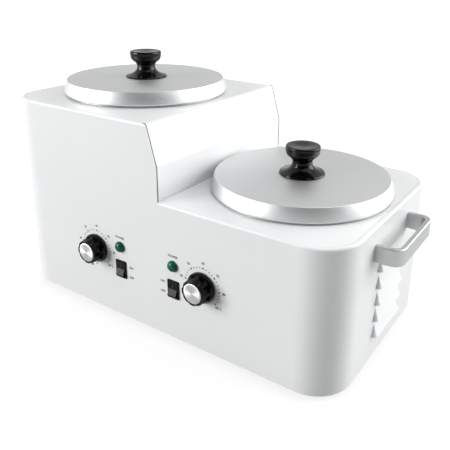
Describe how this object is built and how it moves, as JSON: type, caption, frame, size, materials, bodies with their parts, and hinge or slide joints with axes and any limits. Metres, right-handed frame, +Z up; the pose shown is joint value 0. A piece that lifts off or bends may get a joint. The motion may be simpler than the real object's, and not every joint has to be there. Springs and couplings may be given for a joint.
{
  "type": "double wax warmer",
  "caption": "Stepped sheet-metal wax warmer with a high and a low heated pot, each with a knobbed lid, a dial thermostat, a rocker switch and a lamp, and end handles.",
  "frame": {"origin": "middle of the part's outline on the ground, under its feet", "axes": "+X to the low pot's end (right, seen from the front), +Y from the front panel to the mains inlet, +Z up along the way the lids and pots lift"},
  "size_m": [0.482, 0.2612, 0.2858],
  "materials": {
    "housing_paint": "glossy cool white powder coat",
    "base_steel": "galvanised sheet",
    "well_steel": "drawn steel sheet",
    "pot_aluminium": "satin drawn aluminium",
    "lid_aluminium": "satin anodised aluminium",
    "black_plastic": "glossy black phenolic",
    "dial_silver": "radially brushed",
    "handle_metal": "satin light grey",
    "green_lens": "dark green moulded lens",
    "zinc_steel": "bright zinc",
    "heater_steel": "heat-tinted steel band",
    "glass_felt": "needled glass-fibre felt",
    "copper": "bare copper",
    "brass": "plain brass",
    "inner_plastic": "matt black",
    "foot_rubber": "matt black rubber",
    "lead_silicone": "heat-proof silicone lead"
  },
  "bodies": {
    "housing": {"base_plate": "base_steel", "base_screws": "zinc_steel", "block_screws": "zinc_steel", "bulb_clips": "zinc_steel", "bushing_nuts": "zinc_steel", "clamp_screws": "zinc_steel", "earth_stud": "zinc_steel", "feet": "foot_rubber", "foot_nuts": "zinc_steel", "foot_screws": "zinc_steel", "handle_screws": "zinc_steel", "high_cover": "housing_paint", "housing_shell": "housing_paint", "inlet": "black_plastic", "inlet_pins": "brass", "inlet_screws": "zinc_steel", "lamp_bodies": "inner_plastic", "lamp_nuts": "inner_plastic", "left_cutout": "inner_plastic", "left_handle": "handle_metal", "left_heater_band": "heater_steel", "left_lamp_lens": "green_lens", "left_sensing_bulb": "copper", "left_sleeve": "glass_felt", "left_switch_housing": "black_plastic", "left_thermostat": "inner_plastic", "left_well": "well_steel", "low_deck": "housing_paint", "m3_nuts": "zinc_steel", "right_cutout": "inner_plastic", "right_handle": "handle_metal", "right_heater_band": "heater_steel", "right_lamp_lens": "green_lens", "right_sensing_bulb": "copper", "right_sleeve": "glass_felt", "right_switch_housing": "black_plastic", "right_thermostat": "inner_plastic", "right_well": "well_steel", "stud_nuts": "zinc_steel", "switch_terminals": "brass", "terminal_block": "inner_plastic", "wiring": "lead_silicone"},
    "left_pot": {"left_pot": "pot_aluminium"},
    "left_lid": {"left_lid": "lid_aluminium", "left_lid_knob": "black_plastic", "left_lid_washer": "zinc_steel", "left_lid_screw": "zinc_steel"},
    "left_dial": {"left_dial_knob": "black_plastic", "left_dial_cap": "dial_silver", "left_thermostat_shaft": "zinc_steel"},
    "left_rocker": {"left_rocker": "black_plastic"},
    "right_pot": {"right_pot": "pot_aluminium"},
    "right_lid": {"right_lid": "lid_aluminium", "right_lid_knob": "black_plastic", "right_lid_washer": "zinc_steel", "right_lid_screw": "zinc_steel"},
    "right_dial": {"right_dial_knob": "black_plastic", "right_dial_cap": "dial_silver", "right_thermostat_shaft": "zinc_steel"},
    "right_rocker": {"right_rocker": "black_plastic"}
  },
  "joints": [
    {"name": "left_pot_lift", "type": "slide", "parent": "housing", "child": "left_pot", "axis": [0, 0, 1], "range_m": [0, 0.18]},
    {"name": "left_lid_lift", "type": "slide", "parent": "left_pot", "child": "left_lid", "axis": [0, 0, 1], "range_m": [0, 0.1]},
    {"name": "left_dial_turn", "type": "hinge", "parent": "housing", "child": "left_dial", "pos_m": [-0.0815, -0.1142, 0.0813], "axis": [0, 1, 0], "range_deg": [0, 305]},
    {"name": "left_rocker_rock", "type": "hinge", "parent": "housing", "child": "left_rocker", "pos_m": [-0.0443, -0.1127, 0.0658], "axis": [1, 0, 0], "range_deg": [0, 22]},
    {"name": "right_pot_lift", "type": "slide", "parent": "housing", "child": "right_pot", "axis": [0, 0, 1], "range_m": [0, 0.2]},
    {"name": "right_lid_lift", "type": "slide", "parent": "right_pot", "child": "right_lid", "axis": [0, 0, 1], "range_m": [0, 0.1]},
    {"name": "right_dial_turn", "type": "hinge", "parent": "housing", "child": "right_dial", "pos_m": [0.0675, -0.1142, 0.0813], "axis": [0, 1, 0], "range_deg": [0, 305]},
    {"name": "right_rocker_rock", "type": "hinge", "parent": "housing", "child": "right_rocker", "pos_m": [0.0303, -0.1127, 0.0658], "axis": [1, 0, 0], "range_deg": [0, 22]}
  ]
}
